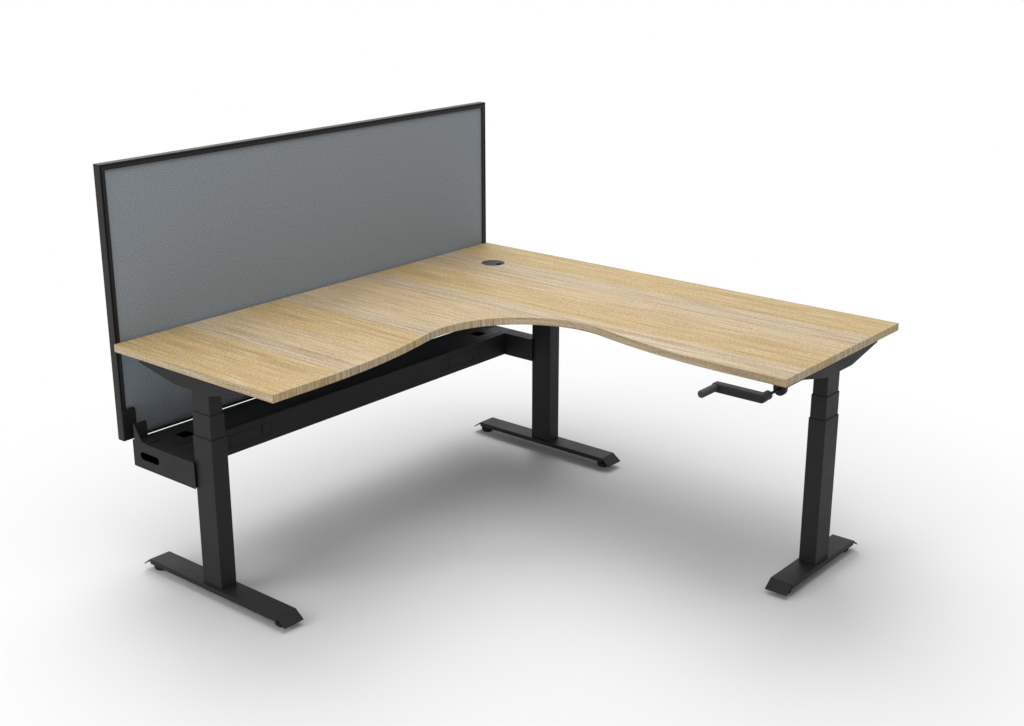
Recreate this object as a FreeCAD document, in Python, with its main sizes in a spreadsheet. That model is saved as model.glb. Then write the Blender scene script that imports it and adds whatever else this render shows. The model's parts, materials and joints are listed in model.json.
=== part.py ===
"""Corner desk on three crank-driven telescopic legs, with a cable beam and a fabric screen.

Frame: millimetres, +Z up, floor at z = 0, origin under the middle of the whole desk's box.
+X runs along the screen to the inner corner of the L, +Y points to the screen, and the return
wing comes forward (-Y) at the +X end. Sizes live in the spreadsheet and every piece is bound
to them; short texts such as "top_length / 2" are expressions over the sheet's names.
"""
import FreeCAD
import Part
import Sketcher
import math
import os
import re

DRIVING_SIZES = {
    # worktop
    "top_length": 1800,
    "return_length": 1800,
    "wing_depth": 750,
    "neck_in": 77,
    "knee_radius": 333,
    "sway_share": 0.76,
    "top_thick": 25,
    "desk_height": 765,
    "band_thick": 1.5,
    # cable grommet in the worktop
    "grommet_inset": 240,
    "grommet_flange": 5,
    "grommet_sleeve_radius": 40,
    "grommet_wall": 3,
    "grommet_rim": 3,
    "grommet_seat": 2,
    "notch_width": 25,
    "notch_depth": 20,
    "loose_fit": 0.3,
    # screen
    "screen_gap": 2,
    "screen_thick": 30.5,
    "screen_height": 899,
    "screen_bottom": 434,
    "screen_inset": 6,
    "frame_face": 19.5,
    "frame_foot": 7,
    "groove_edge": 2.5,
    "groove_width": 5,
    "groove_depth": 4,
    "panel_thick": 20,
    "panel_lap": 6,
    # telescopic legs
    "leg_width": 60,
    "leg_depth": 90,
    "tube_wall": 1.8,
    "tube_step": 2.5,
    "tube_round": 3,
    "inner_out": 66,
    "middle_out": 80,
    "middle_clear": 93,
    "inner_clear": 75,
    "leg_setback": 400.5,
    "corner_leg_inset": 112,
    "right_leg_front": 341.5,
    "slide_fit": 0.1,
    "collar_height": 35,
    "collar_rim": 2,
    "shoe_height": 30,
    # feet and levellers
    "foot_top": 47,
    "foot_width": 78,
    "foot_plate": 3,
    "foot_flange": 17,
    "foot_reach": 309.5,
    "right_foot_reach": 208.5,
    "right_foot_inset": 3,
    "toe_run": 34,
    "toe_drop": 25,
    "front_leveller_inset": 19,
    "back_leveller_inset": 6,
    "leveller_radius": 24,
    "leveller_sole": 14,
    "leveller_disc": 20,
    "leveller_stem": 5,
    "leveller_gap": 4,
    "boss_radius": 9,
    "boss_height": 18,
    # brackets between the inner tubes and the worktop
    "bracket_drop": 51,
    "bracket_near": 46,
    "bracket_far": 122,
    "bracket_tip": 16,
    "bracket_plate": 3,
    "bracket_front": 205,
    "bracket_back": 294,
    "head_plate": 4,
    "head_half": 70,
    "screw_inset": 24,
    "screw_edge": 4,
    "screw_radius": 2.5,
    "screw_head": 4.5,
    "screw_head_high": 2.5,
    "screw_bite": 15,
    # drive
    "shaft_radius": 4,
    "crank_shaft_radius": 4.5,
    "web_clear": 1,
    "gear_share": 0.54,
    "gear_face": 0.25,
    "gear_hub": 3,
    "gear_wall": 0.5,
    "gear_room": 6,
    "tooth_tip": 0.17,
    "tooth_root": 0.2,
    "tooth_sink": 0.05,
    "tooth_foot": 0.158,
    "tooth_crest": 0.05,
    "box_wall": 2,
    "box_side_gap": 0.5,
    "box_gap": 4,
    "upper_screw_radius": 10,
    "upper_screw_clear": 58,
    "upper_screw_gap": 5,
    "upper_screw_crown": 10,
    "lower_screw_radius": 6,
    "lower_screw_length": 509,
    "bore_gap": 0.2,
    "nut_plate": 12,
    "nut_rise": 250,
    "nut_height": 30,
    "post_gap": 2,
    "post_wall": 3,
    "foot_bearing_radius": 15,
    "foot_bearing_height": 20,
    "foot_bearing_floor": 3,
    # crank
    "crank_reach": 46,
    "crank_throw": 155,
    "arm_height": 30,
    "arm_thick": 26,
    "arm_edge": 6,
    "hub_radius": 14,
    "hub_length": 22,
    "grip_length": 78,
    "grip_radius": 12,
    "grip_pin": 4,
    "grip_end": 6,
    "hanger_inset": 39,
    "hanger_radius": 20.5,
    "hanger_plate": 16,
    "hanger_bar": 16,
    # cable beam
    "beam_back_gap": 54,
    "beam_depth": 168,
    "beam_height": 88,
    "beam_bottom": 369,
    "beam_sheet": 2,
    "arm_lap": 8,
    "beam_lip": 22,
    "lid_thick": 1.5,
    "lid_gap": 4,
    "lid_lap": 4,
    "cable_hole": 48,
    "cable_hole_inset": 112,
    "cable_hole_forward": 10,
    "end_slot_length": 96,
    "end_slot_radius": 13,
    "end_hole_radius": 1.8,
    "end_hole_rise": 19.5,
    "socket_inset": 210,
    "socket_length": 226,
    "socket_height": 43,
    "socket_end_cell": 45,
    "socket_seam": 1.2,
    "socket_lip": 3,
    # screen brackets
    "plate_thick": 3,
    "plate_start": 8,
    "plate_width": 49,
    "plate_height": 104,
    "plate_round": 8,
    "plate_below": 20,
    "plate_slot_start": 24,
    "plate_slot_length": 12.5,
    "ear_back_gap": 10,
    "ear_width": 50,
    "ear_height": 56,
    "gusset_run": 38,
    "base_run": 60,
    "web_height": 22,
}

doc = FreeCAD.newDocument("corner_desk")
sheet = doc.addObject("Spreadsheet::Sheet", "Sizes")
for row, (alias, size) in enumerate(DRIVING_SIZES.items(), start=1):
    sheet.set(f"A{row}", alias)
    sheet.set(f"B{row}", str(size))
    sheet.setAlias(f"B{row}", alias)
doc.recompute()

# planes and lines of the desk that several pieces share, as expressions over the sheet
LEFT_END = "(-top_length / 2)"
RIGHT_END = "(top_length / 2)"
BACK_EDGE = "((return_length - screen_gap - screen_thick) / 2)"
FRONT_END = f"({BACK_EDGE} - return_length)"
UNDERSIDE = "(desk_height - top_thick)"
TOP_FACE = "(desk_height)"
RETURN_FRONT = f"({RIGHT_END} - wing_depth)"
KNEE = "(wing_depth - neck_in + knee_radius)"
BRACKET_Z = f"({UNDERSIDE} - bracket_drop)"
HEAD_TOP = f"({BRACKET_Z} + head_plate)"
CEILING = f"({UNDERSIDE} - bracket_plate)"
MIDDLE_TOP = f"({BRACKET_Z} - inner_out)"
OUTER_TOP = f"({MIDDLE_TOP} - middle_out)"
MIDDLE_BOTTOM = "(foot_top + middle_clear)"
INNER_BOTTOM = f"({MIDDLE_BOTTOM} + inner_clear)"
UPPER_SCREW_TOP = f"({BRACKET_Z} - upper_screw_gap)"
UPPER_SCREW_BOTTOM = f"({MIDDLE_BOTTOM} + nut_plate + upper_screw_clear)"
LOWER_SCREW_BOTTOM = "(foot_top + foot_bearing_floor)"
BEAM_TOP = "(beam_bottom + beam_height)"
BEAM_BACK = f"({BACK_EDGE} - beam_back_gap)"
BEAM_FRONT = f"({BEAM_BACK} - beam_depth)"
SCREEN_FACE = f"({BACK_EDGE} + screen_gap)"
SCREEN_BACK = f"({SCREEN_FACE} + screen_thick)"
SCREEN_TOP = "(screen_bottom + screen_height)"

# the drive is as large as the channel of a leg's bracket allows
BRACKET_HALF = "(leg_width / 2 - 2 * tube_step)"
CHANNEL_HALF = f"({BRACKET_HALF} - bracket_plate)"
BOX_HALF = f"({CHANNEL_HALF} - box_side_gap)"
GEAR_TEETH = 12
GEAR_RADIUS = f"(gear_share * {CHANNEL_HALF})"
GEAR_FRONT = f"({GEAR_RADIUS} * (1 - gear_face))"
JOURNAL = f"({GEAR_RADIUS} / 2)"
SHAFT_END = f"({JOURNAL} + shaft_radius / 2)"
SHAFT_Z = f"({CEILING} - box_wall - {GEAR_RADIUS} * (1 + tooth_tip) - gear_room)"
TAKEOFF_RUN = f"(2 * {BOX_HALF} + box_gap)"

# each leg's screw axis; a leg's own front (-Y) faces the person, so the right leg is turned
LEG_LINE = f"({BACK_EDGE} - leg_setback)"
LEGS = {
    "left": {"x": f"({LEFT_END} + foot_width / 2)", "y": LEG_LINE, "turned": False},
    "corner": {"x": f"({RIGHT_END} - corner_leg_inset)", "y": LEG_LINE, "turned": False},
    "right": {"x": f"({RETURN_FRONT} + right_leg_front)",
              "y": f"({FRONT_END} + right_foot_inset + foot_width / 2)", "turned": True},
}
FOOT_REACH = {"left": "foot_reach", "corner": "foot_reach", "right": "right_foot_reach"}
# the return shaft's line, from the crank shaft to the T box on the main shaft
TEE_X = f"({LEGS['right']['x']} - {TAKEOFF_RUN})"
TEE_Y = LEG_LINE

Z_AXIS = FreeCAD.Vector(0, 0, 1)
QUARTER_TURN = FreeCAD.Rotation(Z_AXIS, -90)
AXIS_TURNS = {
    "X": FreeCAD.Rotation(FreeCAD.Vector(0, 1, 0), 90),
    "-X": FreeCAD.Rotation(FreeCAD.Vector(0, 1, 0), -90),
    "Y": FreeCAD.Rotation(FreeCAD.Vector(1, 0, 0), -90),
    "-Y": FreeCAD.Rotation(FreeCAD.Vector(1, 0, 0), 90),
    "Z": FreeCAD.Rotation(),
    "-Z": FreeCAD.Rotation(FreeCAD.Vector(1, 0, 0), 180),
}
FLAT = 0.001
pieces = {}


def full(text):
    """Point the sheet's names in an expression at the sheet."""
    return re.sub(r"[a-z_]+", lambda word: f"Sizes.{word.group()}" if word.group() in DRIVING_SIZES
                  else word.group(), str(text))


def number(text):
    """The present value of an expression."""
    return float(sheet.evalExpression(full(text)))


def place(thing, at, turn=None):
    """Bind where a thing stands, after an optional turn."""
    if turn is not None:
        thing.Placement = FreeCAD.Placement(FreeCAD.Vector(), turn)
    for axis, text in zip("xyz", at):
        thing.setExpression(f"Placement.Base.{axis}", full(text))
    return thing


def piece(label, thing):
    """Name a finished sub-part; the name is also its file's name."""
    thing.Label = label
    pieces[label] = thing
    return thing


def block(low, high):
    """A box between two corners."""
    box = doc.addObject("Part::Box", "Block")
    for side, start, end in zip(("Length", "Width", "Height"), low, high):
        box.setExpression(side, full(f"({end}) - ({start})"))
    return place(box, low)


def rod(at, axis, radius, length):
    """A cylinder from a point along an axis."""
    cylinder = doc.addObject("Part::Cylinder", "Rod")
    cylinder.setExpression("Radius", full(radius))
    cylinder.setExpression("Height", full(length))
    return place(cylinder, at, AXIS_TURNS[axis])


def join(things):
    """One solid, or one group of solids, from several."""
    fused = doc.addObject("Part::MultiFuse", "Joined")
    fused.Shapes = things
    return fused


def cut(base, tools):
    """A solid with others taken out of it."""
    tool = tools[0] if len(tools) == 1 else join(tools)
    rest = doc.addObject("Part::Cut", "Cut")
    rest.Base = base
    rest.Tool = tool
    return rest


def group(things):
    """Separate solids kept as one sub-part."""
    compound = doc.addObject("Part::Compound", "Group")
    compound.Links = things
    return compound


def arc_edge(start, end, centre):
    """The short arc between two points, and which of its ends comes first on the outline."""
    angles = [math.atan2(spot.y - centre.y, spot.x - centre.x) for spot in (start, end)]
    sweep = (angles[1] - angles[0]) % (2 * math.pi)
    circle = Part.Circle(centre, Z_AXIS, (start - centre).Length)
    if sweep < math.pi:
        return Part.ArcOfCircle(circle, angles[0], angles[0] + sweep), (1, 2)
    return Part.ArcOfCircle(circle, angles[1], angles[1] + 2 * math.pi - sweep), (2, 1)


def bind_spot(sketch, edge, end, x_text, y_text):
    """Hold one point of a sketch at bound distances from its origin."""
    for kind, text in (("DistanceX", x_text), ("DistanceY", y_text)):
        if text is not None:
            index = sketch.addConstraint(Sketcher.Constraint(kind, -1, 1, edge, end, number(text)))
            sketch.setExpression(f"Constraints[{index}]", full(text))


def draw(sketch, points):
    """Draw a closed outline. A point is (x, y), or (x, y, cx, cy) where an arc about c goes on from it."""
    spots = [FreeCAD.Vector(number(point[0]), number(point[1]), 0) for point in points]
    ends = []
    for index, point in enumerate(points):
        start = spots[index]
        finish = spots[(index + 1) % len(spots)]
        if len(point) == 4:
            edge, order = arc_edge(start, finish, FreeCAD.Vector(number(point[2]), number(point[3]), 0))
        else:
            edge, order = Part.LineSegment(start, finish), (1, 2)
        ends.append((sketch.addGeometry(edge, False), order))
    for index, point in enumerate(points):
        edge, order = ends[index]
        following, following_order = ends[(index + 1) % len(ends)]
        sketch.addConstraint(Sketcher.Constraint("Coincident", edge, order[1],
                                                 following, following_order[0]))
        bind_spot(sketch, edge, order[0], point[0], point[1])
        if len(point) == 4:
            chord = spots[(index + 1) % len(spots)] - spots[index]
            flat = abs(chord.x) > abs(chord.y)
            bind_spot(sketch, edge, 3, None if flat else point[2], point[3] if flat else None)


def outline(body, plane, outlines):
    """A sketch of closed outlines on one of a body's own origin planes."""
    sketch = body.newObject("Sketcher::SketchObject", "Outline")
    support = [feature for feature in body.Origin.OriginFeatures if feature.Role == plane]
    sketch.AttachmentSupport = [(support[0], "")]
    sketch.MapMode = "FlatFace"
    for points in outlines:
        draw(sketch, points)
    return sketch


def pad(plane, outlines, length):
    """A body padded from closed outlines on one of its own origin planes."""
    body = doc.addObject("PartDesign::Body", "Body")
    sketch = outline(body, plane, outlines)
    feature = body.newObject("PartDesign::Pad", "Pad")
    feature.Profile = sketch
    feature.setExpression("Length", full(length))
    return body


def turned(points):
    """A body turned about its own Z axis from an outline of radius and height."""
    body = doc.addObject("PartDesign::Body", "Body")
    sketch = outline(body, "XZ_Plane", [points])
    feature = body.newObject("PartDesign::Revolution", "Turned")
    feature.Profile = sketch
    feature.ReferenceAxis = (sketch, ["V_Axis"])
    return body


def soften(body, flat_axis, radius):
    """Round the edges of a padded body's two flat ends."""
    doc.recompute()
    last = body.Tip
    edges = [f"Edge{index}" for index, edge in enumerate(last.Shape.Edges, start=1)
             if getattr(edge.BoundBox, f"{flat_axis}Length") < FLAT]
    feature = body.newObject("PartDesign::Fillet", "Soft")
    feature.Base = (last, edges)
    feature.setExpression("Radius", full(radius))
    return body


def rounded(low_x, high_x, low_y, high_y, radius):
    """A rectangle with round corners."""
    left, right = f"{low_x} + ({radius})", f"{high_x} - ({radius})"
    front, back = f"{low_y} + ({radius})", f"{high_y} - ({radius})"
    return [
        (left, low_y),
        (right, low_y, right, front),
        (high_x, front),
        (high_x, back, right, back),
        (right, high_y),
        (left, high_y, left, back),
        (low_x, back),
        (low_x, front, left, front),
    ]


def section(inset, radius):
    """A leg tube's round-cornered section, taken in by an inset on every side."""
    half_x, half_y = f"(leg_width / 2 - ({inset}))", f"(leg_depth / 2 - ({inset}))"
    return rounded(f"-{half_x}", half_x, f"-{half_y}", half_y, radius)


def stand(thing, leg, z_text="0"):
    """Stand a thing that is drawn about a leg's own axis on that leg."""
    turn = QUARTER_TURN if LEGS[leg]["turned"] else FreeCAD.Rotation()
    return place(thing, (LEGS[leg]["x"], LEGS[leg]["y"], z_text), turn)


# worktop with its edge band

def worktop_outline(inset):
    """The L-shaped outline, taken in by an inset: each wing's straight end sways into the knee's arc."""

    def spot(across, along, wing):
        """A point at a distance from the desk's back sides, on the return wing or the main wing."""
        if wing == "return":
            return f"{RIGHT_END} - ({across})", f"{BACK_EDGE} - ({along})"
        return f"{RIGHT_END} - ({along})", f"{BACK_EDGE} - ({across})"

    def front_curve(wing, length):
        """The straight end's two points, the one where the sway meets the knee, and the sway's centre."""
        run = f"(({length} - {KNEE}) * sway_share)"
        centres_apart = f"(({run} ^ 2 + neck_in ^ 2) / (2 * neck_in))"
        knee_arm = f"((knee_radius + {inset}) / {centres_apart})"
        corner = spot(f"wing_depth - {inset}", f"{length} - {inset}", wing)
        start = spot(f"wing_depth - {inset}", f"{KNEE} + {run}", wing)
        meeting = spot(f"{KNEE} - {knee_arm} * ({centres_apart} - neck_in)",
                       f"{KNEE} + {knee_arm} * {run}", wing)
        centre = spot(f"wing_depth - ({centres_apart} - knee_radius)", f"{KNEE} + {run}", wing)
        return corner, start, meeting, centre

    back = [
        (f"{LEFT_END} + {inset}", f"{BACK_EDGE} - {inset}"),
        (f"{RIGHT_END} - {inset}", f"{BACK_EDGE} - {inset}"),
        (f"{RIGHT_END} - {inset}", f"{FRONT_END} + {inset}"),
    ]
    corner, start, meeting, centre = front_curve("return", "return_length")
    return_front = [corner, start + centre, meeting + spot(KNEE, KNEE, "return")]
    corner, start, meeting, centre = front_curve("main", "top_length")
    main_front = [meeting + centre, start, corner]
    return back + return_front + main_front


GROMMET = (f"{RIGHT_END} - grommet_inset", f"{BACK_EDGE} - grommet_inset")
FLANGE = "(grommet_sleeve_radius + grommet_flange)"


def bracket_screws():
    """Where a bracket's four screws stand, in its leg's own frame."""
    spots = []
    for along in ("-(bracket_front - screw_inset)", "(bracket_back - screw_inset)"):
        for side in ("-", ""):
            spots.append((f"{side}({CHANNEL_HALF} - screw_head - screw_edge)", along))
    return spots


def on_leg(leg, across, along):
    """A point of a leg's own frame, in the desk's frame."""
    x, y = LEGS[leg]["x"], LEGS[leg]["y"]
    if LEGS[leg]["turned"]:
        return f"{x} + ({along})", f"{y} - ({across})"
    return f"{x} + ({across})", f"{y} + ({along})"


def worktop():
    """The board, its edge band and the pilot holes for the bracket screws."""
    core = place(pad("XY_Plane", [worktop_outline("band_thick")], "top_thick"), ("0", "0", UNDERSIDE))
    holes = [
        rod((*GROMMET, UNDERSIDE), "Z", "grommet_sleeve_radius + loose_fit", "top_thick"),
        rod((*GROMMET, f"{TOP_FACE} - grommet_rim"), "Z", f"{FLANGE} + loose_fit", "grommet_rim"),
    ]
    for leg in LEGS:
        for spot in bracket_screws():
            holes.append(rod((*on_leg(leg, *spot), UNDERSIDE), "Z", "screw_radius", "screw_bite"))
    piece("worktop", cut(core, holes))
    band = pad("XY_Plane", [worktop_outline("0"), worktop_outline("band_thick")], "top_thick")
    piece("edge_band", place(band, ("0", "0", UNDERSIDE)))


def grommet():
    """A flush cable grommet: a flanged sleeve and a turning cap with a cable notch."""
    rim_z = f"({TOP_FACE} - grommet_rim)"
    seat_z = f"({rim_z} - grommet_seat)"
    cap_radius = "(grommet_sleeve_radius - loose_fit)"
    bore = "(grommet_sleeve_radius - grommet_wall)"
    sleeve = join([
        rod((*GROMMET, rim_z), "Z", FLANGE, "grommet_rim"),
        rod((*GROMMET, UNDERSIDE), "Z", "grommet_sleeve_radius", "top_thick"),
    ])
    inside = [
        rod((*GROMMET, UNDERSIDE), "Z", bore, "top_thick"),
        rod((*GROMMET, rim_z), "Z", "grommet_sleeve_radius", "grommet_rim"),
    ]
    piece("grommet_sleeve", cut(sleeve, inside))
    cap = rod((*GROMMET, rim_z), "Z", cap_radius, "grommet_rim")
    spigot = cut(rod((*GROMMET, seat_z), "Z", f"{bore} - loose_fit", "grommet_seat"),
                 [rod((*GROMMET, seat_z), "Z", f"{bore} - loose_fit - grommet_wall", "grommet_seat")])
    notch_end = f"{GROMMET[1]} - {cap_radius} + notch_depth"
    notch = block((f"{GROMMET[0]} - notch_width / 2", f"{GROMMET[1]} - {cap_radius}", seat_z),
                  (f"{GROMMET[0]} + notch_width / 2", notch_end, TOP_FACE))
    piece("grommet_cap", cut(join([cap, spigot]), [notch]))


# telescopic legs

def tubes(leg):
    """The three stages of one leg: outer on the foot, middle, and inner under the bracket."""
    stages = {
        "outer": ("0", "foot_top", OUTER_TOP),
        "middle": ("tube_step", MIDDLE_BOTTOM, MIDDLE_TOP),
        "inner": ("2 * tube_step", INNER_BOTTOM, BRACKET_Z),
    }
    for stage, (inset, bottom, top) in stages.items():
        walls = [section(inset, "tube_round"), section(f"{inset} + tube_wall", "tube_round / 2")]
        piece(f"{leg}_{stage}_tube", stand(pad("XY_Plane", walls, f"{top} - {bottom}"), leg, bottom))


def tube_guides():
    """Plastic collars in the tops of the outer tubes and shoes round the feet of the inner tubes."""
    collars, shoes = [], []
    opening = section("tube_step - slide_fit", "tube_round")
    for leg in LEGS:
        sleeve = pad("XY_Plane", [section("tube_wall", "tube_round / 2"), opening], "collar_height")
        rim = pad("XY_Plane", [section("0", "tube_round"), opening], "collar_rim")
        place(rim, ("0", "0", "collar_height"))
        collars.append(stand(join([sleeve, rim]), leg, f"{OUTER_TOP} - collar_height"))
        shoe = pad("XY_Plane", [section("tube_step + tube_wall + slide_fit", "tube_round / 2"),
                                section("2 * tube_step", "tube_round")], "shoe_height")
        shoes.append(stand(shoe, leg, INNER_BOTTOM))
    piece("outer_tube_collars", group(collars))
    piece("inner_tube_shoes", group(shoes))


def leveller_spots(leg):
    """The two levellers of a foot, as places along the leg's own Y axis."""
    reach = FOOT_REACH[leg]
    return {"front": f"-({reach} - front_leveller_inset)", "back": f"({reach} - back_leveller_inset)"}


def foot(leg):
    """A folded plate: flat top, shallow side flanges, ends bent down, and nuts for the levellers."""
    reach = FOOT_REACH[leg]
    low_x, high_x = "(-foot_width / 2)", "(foot_width / 2)"
    under = "(foot_top - foot_plate)"
    plate = pad("YZ_Plane", [[
        (f"-{reach} - toe_run", f"{under} - toe_drop"),
        (f"-{reach}", under),
        (reach, under),
        (f"{reach} + toe_run", f"{under} - toe_drop"),
        (f"{reach} + toe_run", "foot_top - toe_drop"),
        (reach, "foot_top"),
        (f"-{reach}", "foot_top"),
        (f"-{reach} - toe_run", "foot_top - toe_drop"),
    ]], "foot_width")
    place(plate, (low_x, "0", "0"))
    solids = [plate]
    for near, far in ((low_x, f"{low_x} + foot_plate"), (f"{high_x} - foot_plate", high_x)):
        solids.append(block((near, f"-{reach}", "foot_top - foot_flange"), (far, reach, under)))
    bores = []
    for along in leveller_spots(leg).values():
        boss_at = ("0", along, f"{under} - boss_height")
        solids.append(rod(boss_at, "Z", "boss_radius", "boss_height"))
        bores.append(rod(boss_at, "Z", "leveller_stem + slide_fit", "boss_height"))
    piece(f"{leg}_foot", stand(cut(join(solids), bores), leg))


def levellers(leg):
    """Two screw-in levelling feet: a round-edged pad on the floor and a stem in the foot's nut."""
    round_up = "(leveller_radius - leveller_sole)"
    stem_top = "foot_top - foot_plate - leveller_gap"
    for end, along in leveller_spots(leg).items():
        foot_pad = turned([
            ("0", "0"),
            ("leveller_sole", "0", "leveller_sole", round_up),
            ("leveller_radius", round_up),
            ("leveller_radius", "leveller_disc"),
            ("leveller_stem", "leveller_disc"),
            ("leveller_stem", stem_top),
            ("0", stem_top),
        ])
        piece(f"{leg}_{end}_leveller", place(foot_pad, (*on_leg(leg, "0", along), "0")))


def bracket(leg):
    """An upside-down channel under the worktop; the inner tube is welded under its head plate."""
    side = pad("YZ_Plane", [[
        ("-bracket_near", BRACKET_Z),
        ("bracket_far", BRACKET_Z),
        ("bracket_back", f"{UNDERSIDE} - bracket_tip"),
        ("bracket_back", UNDERSIDE),
        ("-bracket_front", UNDERSIDE),
        ("-bracket_front", f"{UNDERSIDE} - bracket_tip"),
    ]], f"2 * {BRACKET_HALF}")
    place(side, (f"-{BRACKET_HALF}", "0", "0"))
    front, back = (f"-{CHANNEL_HALF}", "-bracket_front"), (CHANNEL_HALF, "bracket_back")
    hollow = [
        block((*front, HEAD_TOP), (*back, CEILING)),
        block((*front, BRACKET_Z), (CHANNEL_HALF, "-bracket_near", HEAD_TOP)),
        block((f"-{CHANNEL_HALF}", "head_half", BRACKET_Z), (*back, HEAD_TOP)),
        rod(("0", "0", BRACKET_Z), "Z", f"{JOURNAL} + slide_fit", "head_plate"),
    ]
    shaft_side = "X" if leg == "left" else "-X"
    shaft_along = f"-{TAKEOFF_RUN}" if leg == "right" else "0"
    hollow.append(rod(("0", shaft_along, SHAFT_Z), shaft_side, "shaft_radius + web_clear", BRACKET_HALF))
    for across, along in bracket_screws():
        hollow.append(rod((across, along, CEILING), "Z", "screw_radius", "bracket_plate"))
    piece(f"{leg}_top_bracket", stand(cut(side, hollow), leg))


def bracket_screw_set():
    """Pan-head wood screws that hold the brackets to the worktop."""
    screws = []
    for leg in LEGS:
        for across, along in bracket_screws():
            x, y = on_leg(leg, across, along)
            head = rod((x, y, f"{CEILING} - screw_head_high"), "Z", "screw_head", "screw_head_high")
            shank = rod((x, y, CEILING), "Z", "screw_radius", "bracket_plate + screw_bite")
            screws.append(join([head, shank]))
    piece("bracket_screws", group(screws))


# lifting screws

def lifting_screws(leg):
    """Two screws of opposite hand: the hollow upper one hangs from its gear, the lower is on the foot."""
    length = f"({UPPER_SCREW_TOP} - {UPPER_SCREW_BOTTOM})"
    upper = join([rod(("0", "0", UPPER_SCREW_BOTTOM), "Z", "upper_screw_radius", length),
                  rod(("0", "0", UPPER_SCREW_TOP), "Z", JOURNAL,
                      f"{SHAFT_Z} - {GEAR_FRONT} - {UPPER_SCREW_TOP}")])
    hollow = rod(("0", "0", UPPER_SCREW_BOTTOM), "Z", "lower_screw_radius + bore_gap",
                 f"{length} - upper_screw_crown")
    piece(f"{leg}_upper_screw", stand(cut(upper, [hollow]), leg))
    lower = rod(("0", "0", "0"), "Z", "lower_screw_radius", "lower_screw_length")
    piece(f"{leg}_lower_screw", stand(lower, leg, LOWER_SCREW_BOTTOM))


def nut_post(leg):
    """The middle tube's end plate with the lower nut, and a post that holds the upper nut."""
    plate_top = f"({MIDDLE_BOTTOM} + nut_plate)"
    nut_low = f"({MIDDLE_BOTTOM} + nut_rise)"
    post_bore = "(upper_screw_radius + post_gap)"
    plate = pad("XY_Plane", [section("tube_step + tube_wall", "tube_round / 2")], "nut_plate")
    place(plate, ("0", "0", MIDDLE_BOTTOM))
    post = rod(("0", "0", MIDDLE_BOTTOM), "Z", f"{post_bore} + post_wall", "nut_rise + nut_height")
    bores = [
        rod(("0", "0", MIDDLE_BOTTOM), "Z", "lower_screw_radius + slide_fit", "nut_plate"),
        rod(("0", "0", plate_top), "Z", post_bore, f"{nut_low} - {plate_top}"),
        rod(("0", "0", nut_low), "Z", "upper_screw_radius + slide_fit", "nut_height"),
    ]
    piece(f"{leg}_nut_post", stand(cut(join([plate, post]), bores), leg))


def foot_bearings():
    """Thrust bearings on the feet, one under each lower screw."""
    bearings = []
    for leg in LEGS:
        cup = cut(rod(("0", "0", "foot_top"), "Z", "foot_bearing_radius", "foot_bearing_height"),
                  [rod(("0", "0", LOWER_SCREW_BOTTOM), "Z", "lower_screw_radius + slide_fit",
                       "foot_bearing_height - foot_bearing_floor")])
        bearings.append(stand(cup, leg))
    piece("foot_bearings", group(bearings))


# drive

def mitre_gear(apex, axis, mate, bore, gap_at_mate):
    """A straight mitre gear whose cone's tip is at a point.

    The gear sits along its axis from that point, and a tooth, or a gap, faces its mate.
    """
    root = f"{GEAR_RADIUS} * (1 - tooth_root)"
    front_root = f"max({GEAR_FRONT} * (1 - tooth_root); {bore} + gear_wall)"
    back = f"{GEAR_RADIUS} + gear_hub"
    body = turned([
        (bore, GEAR_FRONT),
        (front_root, GEAR_FRONT),
        (root, GEAR_RADIUS),
        (root, back),
        (bore, back),
    ])
    ends = []
    for height in (GEAR_RADIUS, GEAR_FRONT):
        foot_at, crest_at = f"{height} * (1 - tooth_root - tooth_sink)", f"{height} * (1 + tooth_tip)"
        foot_half, crest_half = f"{height} * tooth_foot", f"{height} * tooth_crest"
        end = outline(body, "XY_Plane", [[(foot_at, f"-{foot_half}"), (crest_at, f"-{crest_half}"),
                                          (crest_at, crest_half), (foot_at, foot_half)]])
        end.setExpression("AttachmentOffset.Base.z", full(height))
        ends.append(end)
    tooth = body.newObject("PartDesign::AdditiveLoft", "Tooth")
    tooth.Profile = ends[0]
    tooth.Sections = [ends[1]]
    tooth.Ruled = True
    teeth = body.newObject("PartDesign::PolarPattern", "Teeth")
    teeth.Originals = [tooth]
    teeth.Axis = (ends[0], ["N_Axis"])
    teeth.Angle = 360
    teeth.Occurrences = GEAR_TEETH
    body.Tip = teeth
    half_pitch = FreeCAD.Rotation(Z_AXIS, 180 / GEAR_TEETH if gap_at_mate else 0)
    facing = FreeCAD.Rotation(mate, axis.cross(mate), axis, "ZXY")
    return place(body, apex, facing.multiply(half_pitch))


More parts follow.
